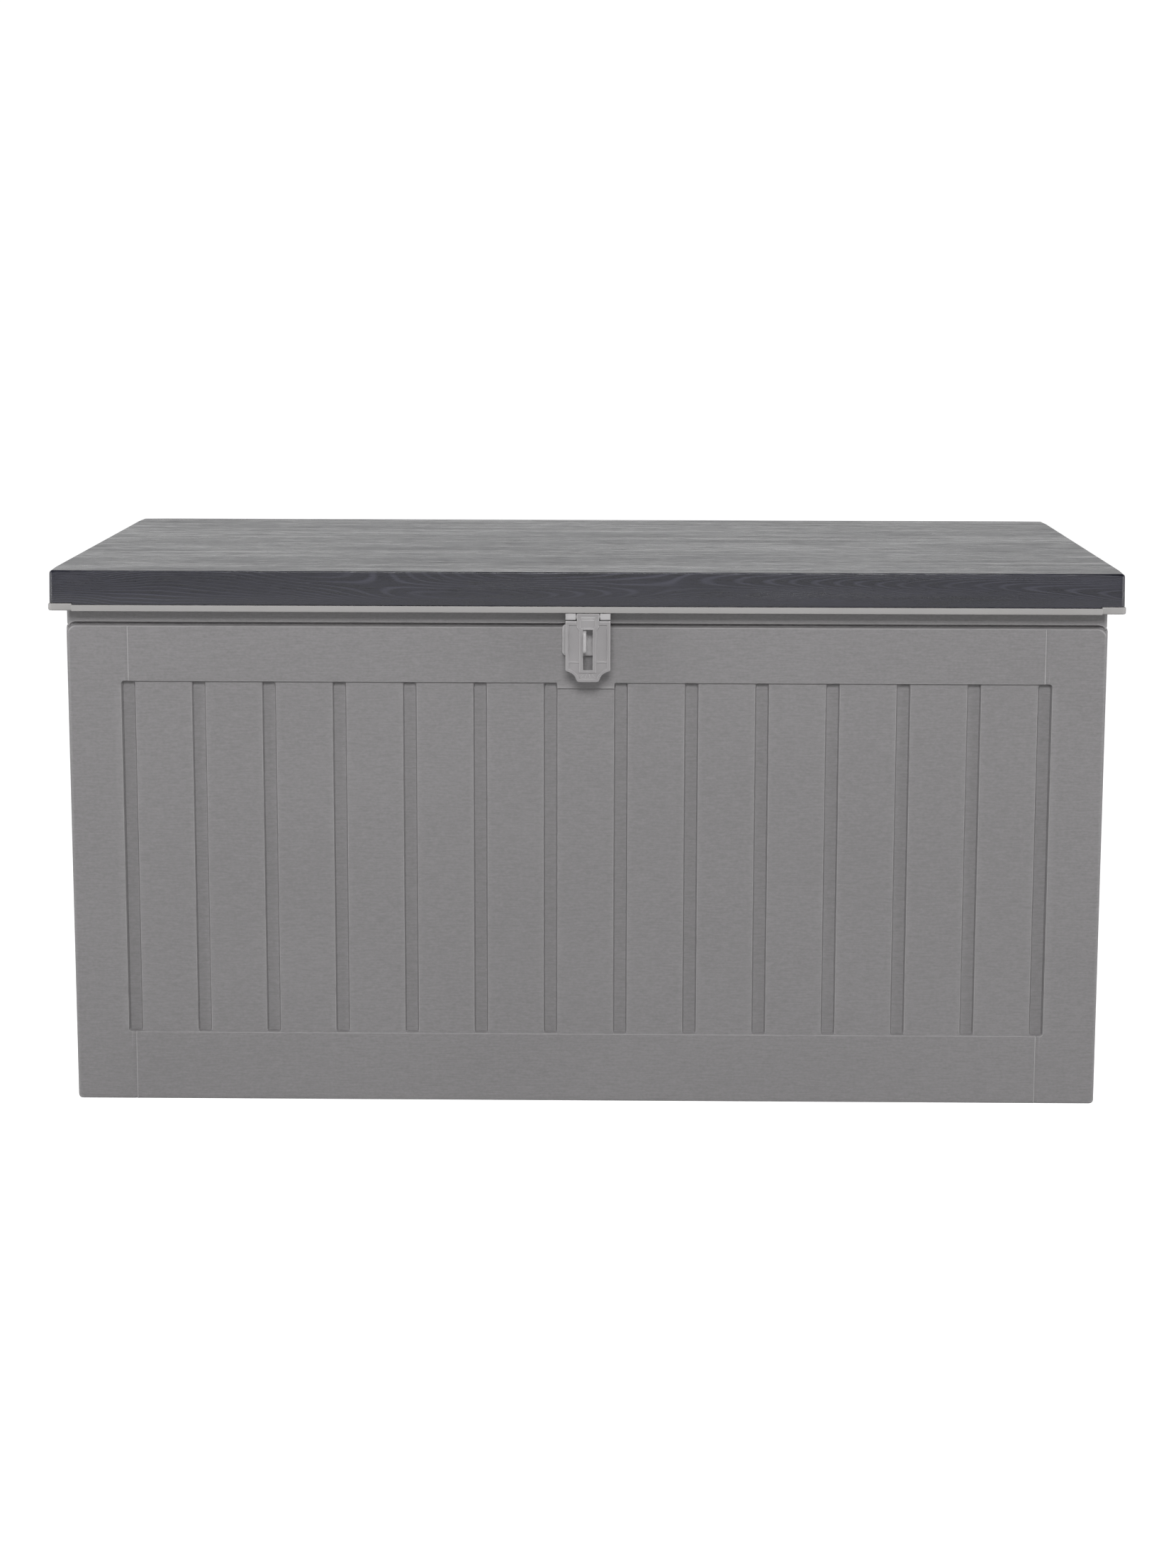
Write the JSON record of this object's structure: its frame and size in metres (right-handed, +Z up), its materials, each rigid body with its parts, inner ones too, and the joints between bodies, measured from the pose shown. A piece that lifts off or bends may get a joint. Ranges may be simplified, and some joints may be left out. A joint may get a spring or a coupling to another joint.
{
  "type": "deck storage box",
  "caption": "Rectangular outdoor storage box with boarded walls, a rear-hinged lid with a wood-grain cover, and a padlock hasp on the front.",
  "frame": {"origin": "middle of the floor tray's underside, on the ground, under the middle of the body", "axes": "+X along the front to the right as seen from the front, +Y from the front wall to the back wall, +Z up"},
  "size_m": [1.19, 0.6355, 0.607],
  "materials": {
    "wall_grey": "satin-matte warm grey with a fine level grain",
    "lid_dark": "dark charcoal with a moulded wood grain and a soft sheen",
    "liner_light": "light grey, smooth satin",
    "hasp_light": "light grey, smooth satin",
    "zinc_steel": "zinc plated"
  },
  "bodies": {
    "body": {"back_panel": "wall_grey", "base_panel": "wall_grey", "base_screw_1": "zinc_steel", "base_screw_2": "zinc_steel", "base_screw_3": "zinc_steel", "base_screw_4": "zinc_steel", "base_screw_5": "zinc_steel", "base_screw_6": "zinc_steel", "corner_screw_back_left_1": "zinc_steel", "corner_screw_back_left_2": "zinc_steel", "corner_screw_back_right_1": "zinc_steel", "corner_screw_back_right_2": "zinc_steel", "corner_screw_front_left_1": "zinc_steel", "corner_screw_front_left_2": "zinc_steel", "corner_screw_front_right_1": "zinc_steel", "corner_screw_front_right_2": "zinc_steel", "front_panel": "wall_grey", "hinge_body_leaf_left": "liner_light", "hinge_body_leaf_right": "liner_light", "hinge_body_screw_left_1": "zinc_steel", "hinge_body_screw_left_2": "zinc_steel", "hinge_body_screw_right_1": "zinc_steel", "hinge_body_screw_right_2": "zinc_steel", "hinge_pin_left": "zinc_steel", "hinge_pin_right": "zinc_steel", "left_panel": "wall_grey", "right_panel": "wall_grey", "staple_plate": "hasp_light", "staple_screw_1": "zinc_steel", "staple_screw_2": "zinc_steel"},
    "lid": {"hasp_bracket": "hasp_light", "hasp_bracket_screw_1": "zinc_steel", "hasp_bracket_screw_2": "zinc_steel", "hasp_pin": "zinc_steel", "hinge_lid_leaf_left": "liner_light", "hinge_lid_leaf_right": "liner_light", "hinge_lid_screw_left_1": "zinc_steel", "hinge_lid_screw_left_2": "zinc_steel", "hinge_lid_screw_right_1": "zinc_steel", "hinge_lid_screw_right_2": "zinc_steel", "lid_cover": "lid_dark", "lid_liner": "liner_light", "liner_screw_1": "zinc_steel", "liner_screw_2": "zinc_steel", "liner_screw_3": "zinc_steel", "liner_screw_4": "zinc_steel", "liner_screw_5": "zinc_steel", "liner_screw_6": "zinc_steel"},
    "hasp": {"hasp_flap": "hasp_light"}
  },
  "joints": [
    {"name": "lid_hinge", "type": "hinge", "parent": "body", "child": "lid", "pos_m": [0, 0.303, 0.553], "axis": [-1, 0, 0], "range_deg": [0, 100]},
    {"name": "hasp_hinge", "type": "hinge", "parent": "lid", "child": "hasp", "pos_m": [0.00245, -0.3085, 0.5578], "axis": [-1, 0, 0], "range_deg": [0, 100]}
  ]
}
